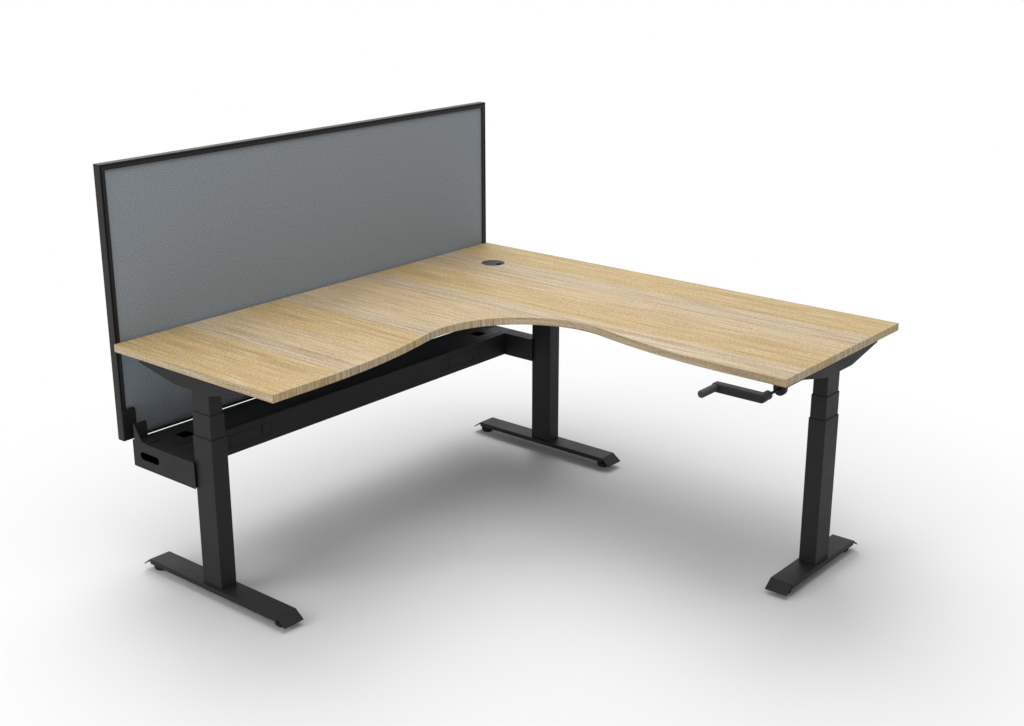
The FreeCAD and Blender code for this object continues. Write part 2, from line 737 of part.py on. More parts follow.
def drive():
    """Crank, return and main shafts' mitre gears, and a crown gear on every upper screw."""
    along_x, along_y = FreeCAD.Vector(1, 0, 0), FreeCAD.Vector(0, 1, 0)
    down = -Z_AXIS
    apex = {leg: (spot["x"], spot["y"], SHAFT_Z) for leg, spot in LEGS.items()}
    takeoff = (TEE_X, LEGS["right"]["y"], SHAFT_Z)
    tee = (TEE_X, TEE_Y, SHAFT_Z)
    for leg in LEGS:
        piece(f"{leg}_crown_gear", mitre_gear(apex[leg], down, along_x, JOURNAL, True))
    piece("crank_pinions", group([mitre_gear(apex["right"], -along_x, down, "crank_shaft_radius", False),
                                  mitre_gear(takeoff, along_x, along_y, "crank_shaft_radius", False)]))
    piece("return_pinions", group([mitre_gear(takeoff, along_y, along_x, "shaft_radius", True),
                                   mitre_gear(tee, -along_y, along_x, "shaft_radius", False)]))
    piece("main_pinions", group([mitre_gear(apex["left"], along_x, down, "shaft_radius", False),
                                 mitre_gear(apex["corner"], along_x, down, "shaft_radius", False),
                                 mitre_gear(tee, along_x, -along_y, "shaft_radius", True)]))
    start, end = f"({takeoff[1]} + {SHAFT_END})", f"({tee[1]} - {SHAFT_END})"
    piece("return_shaft", rod((TEE_X, start, SHAFT_Z), "Y", "shaft_radius", f"{end} - {start}"))
    start = f"({apex['left'][0]} + {SHAFT_END})"
    end = f"({apex['corner'][0]} + {BOX_HALF} - box_wall - loose_fit)"
    piece("main_shaft", rod((start, LEG_LINE, SHAFT_Z), "X", "shaft_radius", f"{end} - {start}"))


def gear_boxes():
    """Housings round the mitre gears: in the brackets, and under the worktop where the shafts meet."""
    crank_bore, shaft_bore = "crank_shaft_radius + slide_fit", "shaft_radius + slide_fit"
    bores = {
        "left": {"X": shaft_bore},
        "corner": {"-X": shaft_bore},
        "right": {"-X": crank_bore},
        "takeoff": {"-X": crank_bore, "X": crank_bore, "Y": shaft_bore},
        "tee": {"-X": shaft_bore, "X": shaft_bore, "-Y": shaft_bore},
    }
    spots = {leg: (spot["x"], spot["y"]) for leg, spot in LEGS.items()}
    spots["takeoff"] = (TEE_X, LEGS["right"]["y"])
    spots["tee"] = (TEE_X, TEE_Y)
    boxes = []
    for name, (x, y) in spots.items():
        roof = UNDERSIDE if name == "tee" else CEILING
        inner_half = f"({BOX_HALF} - box_wall)"
        inside = [block((f"{x} - {inner_half}", f"{y} - {inner_half}", f"{HEAD_TOP} + box_wall"),
                        (f"{x} + {inner_half}", f"{y} + {inner_half}", f"{roof} - box_wall"))]
        for axis, bore in bores[name].items():
            inside.append(rod((x, y, SHAFT_Z), axis, bore, BOX_HALF))
        if name in LEGS:
            inside.append(rod((x, y, HEAD_TOP), "Z", f"{JOURNAL} + slide_fit", "box_wall"))
        shell = block((f"{x} - {BOX_HALF}", f"{y} - {BOX_HALF}", HEAD_TOP),
                      (f"{x} + {BOX_HALF}", f"{y} + {BOX_HALF}", roof))
        boxes.append(cut(shell, inside))
    piece("gearbox_housings", group(boxes))


def crank():
    """The crank under the return wing: shaft, arm with its hub, and a free-turning grip."""
    axis_y = LEGS["right"]["y"]
    arm_face = f"({RETURN_FRONT} - crank_reach)"
    arm_end = f"({arm_face} - arm_thick)"
    hub_end = f"({arm_face} + hub_length)"
    shaft_length = f"{LEGS['right']['x']} - {SHAFT_END} - {hub_end}"
    piece("crank_shaft", rod((hub_end, axis_y, SHAFT_Z), "X", "crank_shaft_radius", shaft_length))
    half = "(arm_height / 2)"
    low, high = f"({SHAFT_Z} - {half})", f"({SHAFT_Z} + {half})"
    grip_y = f"({axis_y} + crank_throw)"
    bar = pad("YZ_Plane", [[
        (axis_y, low),
        (grip_y, low, grip_y, SHAFT_Z),
        (f"{grip_y} + {half}", SHAFT_Z, grip_y, SHAFT_Z),
        (grip_y, high),
        (axis_y, high, axis_y, SHAFT_Z),
        (f"{axis_y} - {half}", SHAFT_Z, axis_y, SHAFT_Z),
    ]], "arm_thick")
    place(soften(bar, "X", "arm_edge"), (arm_end, "0", "0"))
    hub_start = (f"{arm_face} - arm_thick / 2", axis_y, SHAFT_Z)
    hub = rod(hub_start, "X", "hub_radius", "arm_thick / 2 + hub_length")
    pin = rod((arm_end, grip_y, SHAFT_Z), "-X", "grip_pin", "grip_length / 2")
    piece("crank_arm", join([bar, hub, pin]))
    round_at, bore = "grip_radius - grip_end", "grip_pin + slide_fit"
    bore_end = "grip_length / 2 + loose_fit"
    grip = turned([
        (bore, "0"),
        ("grip_radius", "0"),
        ("grip_radius", "grip_length - grip_end", round_at, "grip_length - grip_end"),
        (round_at, "grip_length"),
        ("0", "grip_length"),
        ("0", bore_end),
        (bore, bore_end),
    ])
    piece("crank_grip", place(grip, (f"{arm_end} - loose_fit", grip_y, SHAFT_Z), AXIS_TURNS["-X"]))


def crank_bearing():
    """A round-ended hanger plate for the crank shaft, on a bar that runs back to the right bracket."""
    axis_x, axis_y = LEGS["right"]["x"], LEGS["right"]["y"]
    face = f"({RETURN_FRONT} + hanger_inset)"
    left, right = f"({axis_y} - hanger_radius)", f"({axis_y} + hanger_radius)"
    hanger = pad("YZ_Plane", [[
        (left, UNDERSIDE),
        (left, SHAFT_Z, axis_y, SHAFT_Z),
        (axis_y, f"{SHAFT_Z} - hanger_radius", axis_y, SHAFT_Z),
        (right, SHAFT_Z),
        (right, UNDERSIDE),
    ]], "hanger_plate")
    place(hanger, (face, "0", "0"))
    bar = block((face, f"{axis_y} - {BRACKET_HALF}", f"{UNDERSIDE} - hanger_bar"),
                (f"{axis_x} - bracket_front", f"{axis_y} + {BRACKET_HALF}", UNDERSIDE))
    bore = rod((face, axis_y, SHAFT_Z), "X", "crank_shaft_radius + slide_fit", "hanger_plate")
    piece("crank_bearing", cut(join([hanger, bar]), [bore]))


# cable beam and its arms

BEAM_LEFT = LEFT_END
BEAM_RIGHT = f"({LEGS['corner']['x']} - foot_width / 2 + leg_width)"


def socket_cells():
    """The outlet cut-outs along the beam's front: three cells near each end, as pairs of x."""
    cells = []
    for start in (f"({BEAM_LEFT} + socket_inset)", f"({BEAM_RIGHT} - socket_inset - socket_length)"):
        marks = [start, f"({start} + socket_end_cell)", f"({start} + socket_length - socket_end_cell)",
                 f"({start} + socket_length)"]
        cells.extend(zip(marks, marks[1:]))
    return cells


def cable_holes():
    """Square cable holes through the beam, near its two ends: low and high corner in x and y."""
    holes = []
    for x in (f"({BEAM_LEFT} + cable_hole_inset)", f"({BEAM_RIGHT} - cable_hole_inset - cable_hole)"):
        y = f"({BEAM_BACK} - beam_depth / 2 - cable_hole_forward - cable_hole / 2)"
        holes.append(((x, y), (f"{x} + cable_hole", f"{y} + cable_hole")))
    return holes


def cable_beam():
    """A folded sheet trough with inward lips, closed ends, outlet cut-outs, a lid and blanks."""
    seam_z = "(beam_bottom + beam_height / 2 - socket_height / 2)"
    inner_face = f"({BEAM_FRONT} + beam_sheet)"
    lid_start = "(ear_width + lid_gap)"
    mouth_start = f"({lid_start} + lid_lap)"
    shell = block((BEAM_LEFT, BEAM_FRONT, "beam_bottom"), (BEAM_RIGHT, BEAM_BACK, BEAM_TOP))
    tools = [
        block((f"{BEAM_LEFT} + beam_sheet", inner_face, "beam_bottom + beam_sheet"),
              (f"{BEAM_RIGHT} - beam_sheet", f"{BEAM_BACK} - beam_sheet", f"{BEAM_TOP} - beam_sheet")),
        block((f"{BEAM_LEFT} + {mouth_start}", f"{BEAM_FRONT} + beam_lip", f"{BEAM_TOP} - beam_sheet"),
              (f"{BEAM_RIGHT} - {mouth_start}", f"{BEAM_BACK} - beam_lip", BEAM_TOP)),
    ]
    for low, high in socket_cells():
        tools.append(block((f"{low} + socket_seam", BEAM_FRONT, seam_z),
                           (f"{high} - socket_seam", inner_face, f"{seam_z} + socket_height")))
    for low, high in cable_holes():
        tools.append(block((*low, "beam_bottom"), (*high, "beam_bottom + beam_sheet")))
    slot_y = f"({BEAM_BACK} - beam_depth / 2)"
    slot_z = "(beam_bottom + beam_height / 2)"
    slot_half = "(end_slot_length / 2 - end_slot_radius)"
    for way in ("-", "+"):
        slot_end = (BEAM_LEFT, f"{slot_y} {way} {slot_half}", slot_z)
        tools.append(rod(slot_end, "X", "end_slot_radius", "beam_sheet"))
        for rise in ("-", "+"):
            hole = (BEAM_LEFT, f"{slot_y} {way} {slot_half} / 2", f"{slot_z} {rise} end_hole_rise")
            tools.append(rod(hole, "X", "end_hole_radius", "beam_sheet"))
    tools.append(block((BEAM_LEFT, f"{slot_y} - {slot_half}", f"{slot_z} - end_slot_radius"),
                       (f"{BEAM_LEFT} + beam_sheet", f"{slot_y} + {slot_half}",
                        f"{slot_z} + end_slot_radius")))
    piece("cable_beam", cut(shell, tools))
    lid_lip = "(beam_lip - lid_lap)"
    lid_top = f"{BEAM_TOP} + lid_thick"
    lid = block((f"{BEAM_LEFT} + {lid_start}", f"{BEAM_FRONT} + {lid_lip}", BEAM_TOP),
                (f"{BEAM_RIGHT} - {lid_start}", f"{BEAM_BACK} - {lid_lip}", lid_top))
    openings = [block((*low, BEAM_TOP), (*high, lid_top)) for low, high in cable_holes()]
    piece("beam_lid", cut(lid, openings))
    blanks = []
    for low, high in socket_cells():
        face = block((f"{low} + 2 * socket_seam", BEAM_FRONT, f"{seam_z} + socket_seam"),
                     (f"{high} - 2 * socket_seam", inner_face, f"{seam_z} + socket_height - socket_seam"))
        lip = block((f"{low} + socket_seam / 4", inner_face, f"{seam_z} - socket_lip"),
                    (f"{high} - socket_seam / 4", f"{inner_face} + beam_sheet",
                     f"{seam_z} + socket_height + socket_lip"))
        blanks.append(join([face, lip]))
    piece("socket_blanks", group(blanks))


def beam_arm(leg):
    """A box-section arm from the beam's front to a leg's tube; its left wall laps past the tube's back."""
    x, y = LEGS[leg]["x"], LEGS[leg]["y"]
    low = (f"{x} - foot_width / 2", f"{y} + leg_depth / 2", "beam_bottom")
    high = (f"{x} - foot_width / 2 + leg_width", BEAM_FRONT, BEAM_TOP)
    hollow = block((f"{low[0]} + beam_sheet", low[1], "beam_bottom + beam_sheet"),
                   (f"{high[0]} - beam_sheet", high[1], f"{BEAM_TOP} - beam_sheet"))
    lap = block((low[0], f"{low[1]} - arm_lap", low[2]), (f"{low[0]} + beam_sheet", low[1], high[2]))
    piece(f"{leg}_beam_arm", join([cut(block(low, high), [hollow]), lap]))


# screen

def screen():
    """A fabric-covered board in an extruded frame, narrow below and grooved at both ends and the top."""
    def slab(edge, foot, front, back):
        """A block of the screen, taken in at its ends and top, and at its foot, between two depths."""
        low = (f"{LEFT_END} + screen_inset + {edge}", f"{SCREEN_FACE} + {front}", f"screen_bottom + {foot}")
        high = (f"{RIGHT_END} - {edge}", f"{SCREEN_FACE} + {back}", f"{SCREEN_TOP} - {edge}")
        return block(low, high)

    middle = "screen_thick / 2"
    board = ("(frame_face - panel_lap)", "frame_foot / 2",
             f"{middle} - panel_thick / 2", f"{middle} + panel_thick / 2")
    tools = [slab("frame_face", "frame_foot", "0", "screen_thick"), slab(*board)]
    for depths in (("0", "groove_depth"), ("screen_thick - groove_depth", "screen_thick")):
        tools.append(cut(slab("groove_edge", "frame_foot", *depths),
                         [slab("(groove_edge + groove_width)", "frame_foot", *depths)]))
    piece("screen_frame", cut(slab("0", "0", "0", "screen_thick"), tools))
    piece("screen_panel", slab(*board))


def screen_brackets():
    """Plates screwed to the screen's lower corners, each joined by a web to a gusseted ear on the beam."""
    brackets, screws = [], []
    face = f"({SCREEN_FACE} - plate_thick)"
    low_z, high_z = f"({BEAM_TOP} - plate_below)", f"({BEAM_TOP} - plate_below + plate_height)"
    ear_face = f"({BEAM_BACK} - ear_back_gap - plate_thick)"
    ear_top = f"({BEAM_TOP} + ear_height)"
    for start, way in ((BEAM_LEFT, "+"), (BEAM_RIGHT, "-")):
        def along(distance):
            """A place along the beam, counted from this end of it."""
            return f"({start} {way} ({distance}))"

        def span(first, second):
            """Two places along the beam, low one first."""
            ends = (along(first), along(second))
            return ends if way == "+" else ends[::-1]

        plate_end = along("plate_start + plate_width")
        bend = along("plate_start + plate_width - plate_round")
        plate = pad("XZ_Plane", [[
            (along("plate_start"), low_z),
            (along("plate_start"), high_z),
            (bend, high_z, bend, f"{high_z} - plate_round"),
            (plate_end, f"{high_z} - plate_round"),
            (plate_end, low_z),
        ]], "plate_thick")
        place(plate, ("0", SCREEN_FACE, "0"))
        ear_end, bend = along("ear_width"), along("ear_width - plate_round")
        ear = pad("XZ_Plane", [[
            (along("0"), BEAM_TOP),
            (along("0"), ear_top),
            (bend, ear_top, bend, f"{ear_top} - plate_round"),
            (ear_end, f"{ear_top} - plate_round"),
            (ear_end, BEAM_TOP),
        ]], "plate_thick")
        place(ear, ("0", f"{ear_face} + plate_thick", "0"))
        gusset = pad("YZ_Plane", [[
            (ear_face, BEAM_TOP),
            (f"{ear_face} - gusset_run", BEAM_TOP),
            (ear_face, ear_top),
        ]], "plate_thick")
        place(gusset, (span("0", "plate_thick")[0], "0", "0"))
        seat, web = span("0", "ear_width"), span("ear_width - plate_thick", "ear_width")
        base = block((seat[0], f"{ear_face} - base_run", BEAM_TOP),
                     (seat[1], ear_face, f"{BEAM_TOP} + plate_thick"))
        tie = block((web[0], ear_face, BEAM_TOP), (web[1], SCREEN_FACE, f"{BEAM_TOP} + web_height"))
        hole_x = along("plate_start + plate_width / 4")
        heights = (f"{low_z} + plate_height / 4", f"{low_z} + 3 * plate_height / 4")
        holes = [rod((hole_x, face, z), "Y", "screw_radius", "plate_thick") for z in heights]
        slot_x = span("plate_slot_start", "plate_slot_start + plate_slot_length")
        holes.append(block((slot_x[0], face, f"{low_z} + plate_round"),
                           (slot_x[1], SCREEN_FACE, f"{low_z} + 2 * plate_round")))
        brackets.append(cut(join([plate, ear, gusset, base, tie]), holes))
        for z in heights:
            screws.append(join([rod((hole_x, face, z), "-Y", "screw_head", "screw_head_high"),
                                rod((hole_x, face, z), "Y", "screw_radius", "plate_thick")]))
    piece("screen_brackets", group(brackets))
    piece("screen_bracket_screws", group(screws))


worktop()
grommet()
for leg_name in LEGS:
    tubes(leg_name)
    foot(leg_name)
    levellers(leg_name)
    bracket(leg_name)
    lifting_screws(leg_name)
    nut_post(leg_name)
tube_guides()
bracket_screw_set()
foot_bearings()
drive()
gear_boxes()
crank()
crank_bearing()
cable_beam()
for leg_name in ("left", "corner"):
    beam_arm(leg_name)
screen()
screen_brackets()

doc.recompute()
faults = [thing.Label for thing in doc.Objects if {"Invalid", "Error"} & set(thing.State)]
for label, thing in pieces.items():
    if thing.Shape.isNull() or not thing.Shape.isValid():
        faults.append(label)
if faults:
    raise RuntimeError(f"these did not build: {faults}")
os.makedirs("parts", exist_ok=True)
for label, thing in pieces.items():
    thing.Shape.exportStep(f"parts/{label}.step")
print(len(pieces), "sub-parts written")
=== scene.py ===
"""Height-adjustable corner desk: finishes, softened edges, fabric screen and studio over the CAD frame."""
from __future__ import annotations

import json
import logging
import math
from dataclasses import dataclass, field
from enum import Enum
from typing import Callable

import bmesh
import bpy
from mathutils import Matrix, Vector


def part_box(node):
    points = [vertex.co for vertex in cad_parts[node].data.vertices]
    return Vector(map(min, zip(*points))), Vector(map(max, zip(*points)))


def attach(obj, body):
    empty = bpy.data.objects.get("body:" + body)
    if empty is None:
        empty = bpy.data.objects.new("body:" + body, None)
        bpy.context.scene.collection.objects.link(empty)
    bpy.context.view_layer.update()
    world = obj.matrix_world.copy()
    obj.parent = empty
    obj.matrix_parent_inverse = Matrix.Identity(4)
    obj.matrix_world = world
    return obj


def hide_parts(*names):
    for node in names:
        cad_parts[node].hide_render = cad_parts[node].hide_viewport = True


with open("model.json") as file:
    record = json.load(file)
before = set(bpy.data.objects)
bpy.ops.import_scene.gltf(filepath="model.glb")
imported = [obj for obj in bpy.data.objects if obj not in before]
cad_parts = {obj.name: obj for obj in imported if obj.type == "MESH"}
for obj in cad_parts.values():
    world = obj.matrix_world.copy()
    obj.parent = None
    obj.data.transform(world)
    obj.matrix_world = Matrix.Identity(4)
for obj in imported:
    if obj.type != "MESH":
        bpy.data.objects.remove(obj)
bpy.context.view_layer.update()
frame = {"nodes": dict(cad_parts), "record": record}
LOG = logging.getLogger("corner_desk")

Socket = bpy.types.NodeSocket
Wire = Socket | float | tuple
Colour = tuple[float, float, float, float]
MM = 0.001
WHITE: Colour = (1.0, 1.0, 1.0, 1.0)
MID_NOISE = 0.5
VALUE, VECTOR, COLOUR = "NodeSocketFloat", "NodeSocketVector", "NodeSocketColor"


class Slot(Enum):
    """The record's material slots."""

    OAK = "oak_laminate"
    OAK_EDGE = "oak_edge"
    COAT = "black_powder_coat"
    PLASTIC = "black_plastic"
    GRIP = "grip_plastic"
    STEEL = "bright_steel"
    ALUMINIUM = "black_aluminium"
    FABRIC = "grey_fabric"


class Side(Enum):
    """The desk's three legs."""

    LEFT = "left"
    CORNER = "corner"
    RIGHT = "right"


class FootEnd(Enum):
    """The two ends of a foot."""

    FRONT = "front"
    BACK = "back"


@dataclass(frozen=True)
class Span:
    """A span of values and the span that it is mapped to."""

    low: float
    high: float
    to_low: float = 0.0
    to_high: float = 1.0


@dataclass(frozen=True)
class Layer:
    """One layer of wood grain: its lines to the metre across and along, and a seed that sets it apart."""

    across: float
    along: float
    seed: float


@dataclass
class Wiring:
    """Adds nodes to one node tree and links them."""

    tree: bpy.types.NodeTree

    def add(self, kind: str, inputs: dict[str | int, Wire] | None = None,
            **settings: object) -> bpy.types.Node:
        """Add a node.

        Args:
            kind: The node's type name.
            inputs: Values or sockets for its inputs, by name or index.
            settings: Properties of the node itself.

        Returns:
            The new node.
        """
        node = self.tree.nodes.new(kind)
        for name, value in settings.items():
            setattr(node, name, value)
        for key, value in (inputs or {}).items():
            self.feed(node.inputs[key], value)
        return node

    def feed(self, socket: Socket, value: Wire) -> None:
        """Link a socket to an input, or set the input's own value.

        Args:
            socket: The input.
            value: A socket to link, or a plain value.
        """
        if isinstance(value, Socket):
            self.tree.links.new(value, socket)
        else:
            socket.default_value = value

    def maths(self, operation: str, first: Wire, second: Wire = 0.0) -> Socket:
        """The result of one arithmetic step."""
        return self.add("ShaderNodeMath", {0: first, 1: second}, operation=operation).outputs[0]

    def ramp(self, value: Wire, span: Span) -> Socket:
        """A value mapped from one span to another, and kept inside it."""
        ends = {1: span.low, 2: span.high, 3: span.to_low, 4: span.to_high}
        return self.add("ShaderNodeMapRange", {0: value, **ends}).outputs[0]

    def mix(self, factor: Wire, first: Wire, second: Wire) -> Socket:
        """Two colours mixed, with the factor as the second one's share."""
        return self.add("ShaderNodeMix", {0: factor, 6: first, 7: second}, data_type="RGBA").outputs[2]

    def vector(self, x: Wire, y: Wire, z: Wire) -> Socket:
        """A vector from three values."""
        return self.add("ShaderNodeCombineXYZ", {0: x, 1: y, 2: z}).outputs[0]

    def noise(self, where: Socket, scale: Wire, detail: float = 2.0, roughness: float = 0.5) -> Socket:
        """A noise value at a place.

        Args:
            where: The place.
            scale: The noise's scale.
            detail: How many finer layers it has.
            roughness: How strong those are.

        Returns:
            A value about 0.5.
        """
        node = self.add("ShaderNodeTexNoise", {"Vector": where, "Scale": scale, "Detail": detail,
                                               "Roughness": roughness})
        return node.outputs[0]

    def place(self) -> Socket:
        """Object coordinates."""
        return self.add("ShaderNodeTexCoord").outputs["Object"]

    def split(self, where: Socket) -> tuple[Socket, Socket, Socket]:
        """The three values of a vector."""
        outputs = self.add("ShaderNodeSeparateXYZ", {0: where}).outputs
        return outputs[0], outputs[1], outputs[2]


@dataclass
class Effect:
    """A shader node group that several finishes use."""

    name: str
    inputs: dict[str, str]
    outputs: dict[str, str]
    fill: Callable[[Wiring, bpy.types.Node], dict[str, Socket]]
    tree: bpy.types.NodeTree | None = None

    def use(self, wiring: Wiring, inputs: dict[str, Wire]) -> bpy.types.Node:
        """Place the group in a material, building it the first time.

        Args:
            wiring: The material's wiring.
            inputs: What feeds the group.

        Returns:
            The group's node.
        """
        if self.tree is None:
            self.tree = self.build()
        return wiring.add("ShaderNodeGroup", inputs, node_tree=self.tree)

    def build(self) -> bpy.types.NodeTree:
        """Make the node group.

        Returns:
            The group's tree.
        """
        tree = bpy.data.node_groups.new(self.name, "ShaderNodeTree")
        for way, sockets in (("INPUT", self.inputs), ("OUTPUT", self.outputs)):
            for name, kind in sockets.items():
                tree.interface.new_socket(name, in_out=way, socket_type=kind)
        wiring = Wiring(tree)
        wiring.add("NodeGroupOutput", self.fill(wiring, wiring.add("NodeGroupInput")))
        return tree


class Tone(Enum):
    """The tones of the oak print, as how much of gold and of silver each has."""

    GOLD = (1.0, 0.0)
    BLUSH = (0.0, 0.0)
    SILVER = (0.0, 1.0)


@dataclass(frozen=True)
class OakFigure:
    """The print of the oak laminate: boards of three tones, long streaks, fine lines and short pores."""

    gold: Colour = (0.505, 0.355, 0.146, 1.0)
    blush: Colour = (0.530, 0.394, 0.225, 1.0)
    silver: Colour = (0.468, 0.360, 0.228, 1.0)
    light_line: Colour = (0.690, 0.610, 0.470, 1.0)
    dark_line: Colour = (0.230, 0.155, 0.072, 1.0)
    half_length: float = 0.9
    joint: float = 0.003
    wander: float = 0.030
    line_detail: float = 2.0
    line_roughness: float = 0.55
    drift: Layer = Layer(5.0, 0.9, 1.3)
    broad: Layer = Layer(42.0, 0.6, 7.1)
    streak: Layer = Layer(130.0, 1.3, 3.0)
    fine: Layer = Layer(240.0, 5.0, 5.0)
    pores: Layer = Layer(380.0, 90.0, 9.0)
    broad_dark: Span = Span(0.54, 0.30, 0.0, 0.40)
    streak_dark: Span = Span(0.50, 0.30)
    streak_light: Span = Span(0.50, 0.68)
    silver_dark: Span = Span(0.0, 1.0, 0.45, 0.60)
    silver_light: Span = Span(0.0, 1.0, 0.12, 0.60)
    fine_light: Span = Span(0.52, 0.74, 0.0, 0.72)
    fine_dark: Span = Span(0.48, 0.28, 0.0, 0.66)
    pore_dark: Span = Span(0.47, 0.28, 0.0, 0.78)
    pore_light: Span = Span(0.53, 0.74, 0.0, 0.62)
    gloss: Span = Span(0.2, 0.8, 0.46, 0.58)
    fine_height: float = 0.5
    boards: tuple[tuple[float, float, Tone], ...] = (
        (-0.900, -0.636, Tone.GOLD), (-0.632, -0.560, Tone.SILVER), (-0.520, -0.440, Tone.BLUSH),
        (-0.390, -0.214, Tone.GOLD), (-0.210, -0.130, Tone.SILVER), (-0.090, 0.140, Tone.BLUSH),
        (0.190, 0.266, Tone.SILVER), (0.270, 0.440, Tone.GOLD), (0.480, 0.560, Tone.BLUSH),
        (0.600, 0.696, Tone.SILVER), (0.700, 0.900, Tone.GOLD))

    def tones(self, wiring: Wiring, across: Socket) -> tuple[Socket, Socket]:
        """How much gold and silver the boards have at a distance across them.

        Args:
            wiring: The group's wiring.
            across: The distance.

        Returns:
            The amounts of gold and of silver.
        """
        position = wiring.ramp(across, Span(-self.half_length, self.half_length))
        node = wiring.add("ShaderNodeValToRGB", {0: position})
        stops = node.color_ramp.elements
        marks = [(place, tone) for low, high, tone in self.boards for place in (low, high)]
        for index, (place, tone) in enumerate(marks):
            share = (place + self.half_length) / (2 * self.half_length)
            last = index == len(marks) - 1
            stop = stops[0] if index == 0 else stops[-1] if last else stops.new(share)
            stop.position = share
            stop.color = (*tone.value, 0.0, 1.0)
        parts = wiring.add("ShaderNodeSeparateColor", {0: node.outputs[0]}).outputs
        return parts[0], parts[1]

    def lines(self, wiring: Wiring, across: Socket, along: Socket, layer: Layer) -> Socket:
        """Noise drawn out along the grain.

        Args:
            wiring: The group's wiring.
            across: The distance across the grain.
            along: The distance along the grain.
            layer: How far the noise is drawn out.

        Returns:
            A value about the middle of the noise.
        """
        place = wiring.vector(wiring.maths("MULTIPLY", across, layer.across),
                              wiring.maths("MULTIPLY", along, layer.along), layer.seed)
        return wiring.noise(place, 1.0, self.line_detail, self.line_roughness)

    def fill(self, wiring: Wiring, start: bpy.types.Node) -> dict[str, Socket]:
        """Wire the figure's group.

        Args:
            wiring: The group's wiring.
            start: The group's input node.

        Returns:
            The group's outputs by name.
        """
        across, along = start.outputs["Across"], start.outputs["Along"]
        drift = wiring.maths("SUBTRACT", self.lines(wiring, across, along, self.drift), MID_NOISE)
        line = wiring.maths("ADD", across, wiring.maths("MULTIPLY", drift, self.wander))
        seam = wiring.maths("ADD", across, wiring.maths("MULTIPLY", drift, self.joint))
        gold, silver = self.tones(wiring, seam)
        broad, streak, fine, pores = [self.lines(wiring, line, along, layer)
                                      for layer in (self.broad, self.streak, self.fine, self.pores)]
        dark = wiring.maths("MULTIPLY", wiring.ramp(streak, self.streak_dark),
                            wiring.ramp(silver, self.silver_dark))
        light = wiring.maths("MULTIPLY", wiring.ramp(streak, self.streak_light),
                             wiring.ramp(silver, self.silver_light))
        pore = wiring.ramp(pores, self.pore_dark)
        colour = wiring.mix(silver, wiring.mix(gold, self.blush, self.gold), self.silver)
        for amount, tint in ((wiring.ramp(broad, self.broad_dark), self.dark_line), (dark, self.dark_line),
                             (light, self.light_line), (wiring.ramp(fine, self.fine_light), self.light_line),
                             (wiring.ramp(fine, self.fine_dark), self.dark_line), (pore, self.dark_line),
                             (wiring.ramp(pores, self.pore_light), self.light_line)):
            colour = wiring.mix(amount, colour, tint)
        height = wiring.maths("SUBTRACT", wiring.maths("MULTIPLY", fine, self.fine_height), pore)
        return {"Color": colour, "Height": height, "Gloss": wiring.ramp(fine, self.gloss)}


@dataclass(frozen=True)
class Speckle:
    """The speckle of a sprayed or moulded surface: a fine grain and a broad cloud."""

    grain_detail: float = 3.0
    grain_roughness: float = 0.6
    cloud_scale: float = 9.0
    cloud_detail: float = 3.0
    cloud_roughness: float = 0.55

    def fill(self, wiring: Wiring, start: bpy.types.Node) -> dict[str, Socket]:
        """Wire the speckle's group.

        Args:
            wiring: The group's wiring.
            start: The group's input node.

        Returns:
            The group's outputs by name.
        """
        where, scale = start.outputs["Vector"], start.outputs["Scale"]
        return {"Grain": wiring.noise(where, scale, self.grain_detail, self.grain_roughness),
                "Cloud": wiring.noise(where, self.cloud_scale, self.cloud_detail, self.cloud_roughness)}


@dataclass(frozen=True)
class Weave:
    """A plain weave with uneven, slightly heathered threads."""

    wobble: float = 1.2 * MM
    wobble_scale: float = 160.0
    slub_stretch: float = 0.35
    slub_seed: float = 4.0
    slub_scale: float = 420.0
    slub_detail: float = 3.0
    slub_roughness: float = 0.7
    heather_scale: float = 240.0
    heather_detail: float = 4.0
    heather_roughness: float = 0.75
    heather_share: float = 0.65
    crossing_height: float = 0.5

    def fill(self, wiring: Wiring, start: bpy.types.Node) -> dict[str, Socket]:
        """Wire the weave's group.

        Args:
            wiring: The group's wiring.
            start: The group's input node.

        Returns:
            The group's outputs by name.
        """
        across, along = start.outputs["Across"], start.outputs["Along"]
        here = wiring.vector(across, along, 0.0)
        uneven = wiring.maths("SUBTRACT", wiring.noise(here, self.wobble_scale), MID_NOISE)
        shift = wiring.maths("MULTIPLY", uneven, self.wobble)
        turns = wiring.maths("DIVIDE", math.pi, start.outputs["Pitch"])
        warp, weft = [wiring.maths("SINE", wiring.maths("MULTIPLY", wiring.maths("ADD", way, shift), turns))
                      for way in (across, along)]
        crossing = wiring.maths("MULTIPLY", wiring.maths("MULTIPLY", warp, weft), self.crossing_height)
        drawn = wiring.vector(wiring.maths("MULTIPLY", across, self.slub_stretch), along, self.slub_seed)
        slub = wiring.noise(drawn, self.slub_scale, self.slub_detail, self.slub_roughness)
        heather = wiring.noise(here, self.heather_scale, self.heather_detail, self.heather_roughness)
        shade = wiring.maths("ADD", wiring.maths("MULTIPLY", heather, self.heather_share),
                             wiring.maths("MULTIPLY", slub, 1 - self.heather_share))
        return {"Height": wiring.maths("ADD", crossing, slub), "Shade": shade}


OAK_FIGURE = Effect("oak_figure", {"Across": VALUE, "Along": VALUE},
                    {"Color": COLOUR, "Height": VALUE, "Gloss": VALUE}, OakFigure().fill)
SPECKLE = Effect("surface_speckle", {"Vector": VECTOR, "Scale": VALUE}, {"Grain": VALUE, "Cloud": VALUE},
                 Speckle().fill)
WEAVE = Effect("plain_weave", {"Across": VALUE, "Along": VALUE, "Pitch": VALUE},
               {"Height": VALUE, "Shade": VALUE}, Weave().fill)


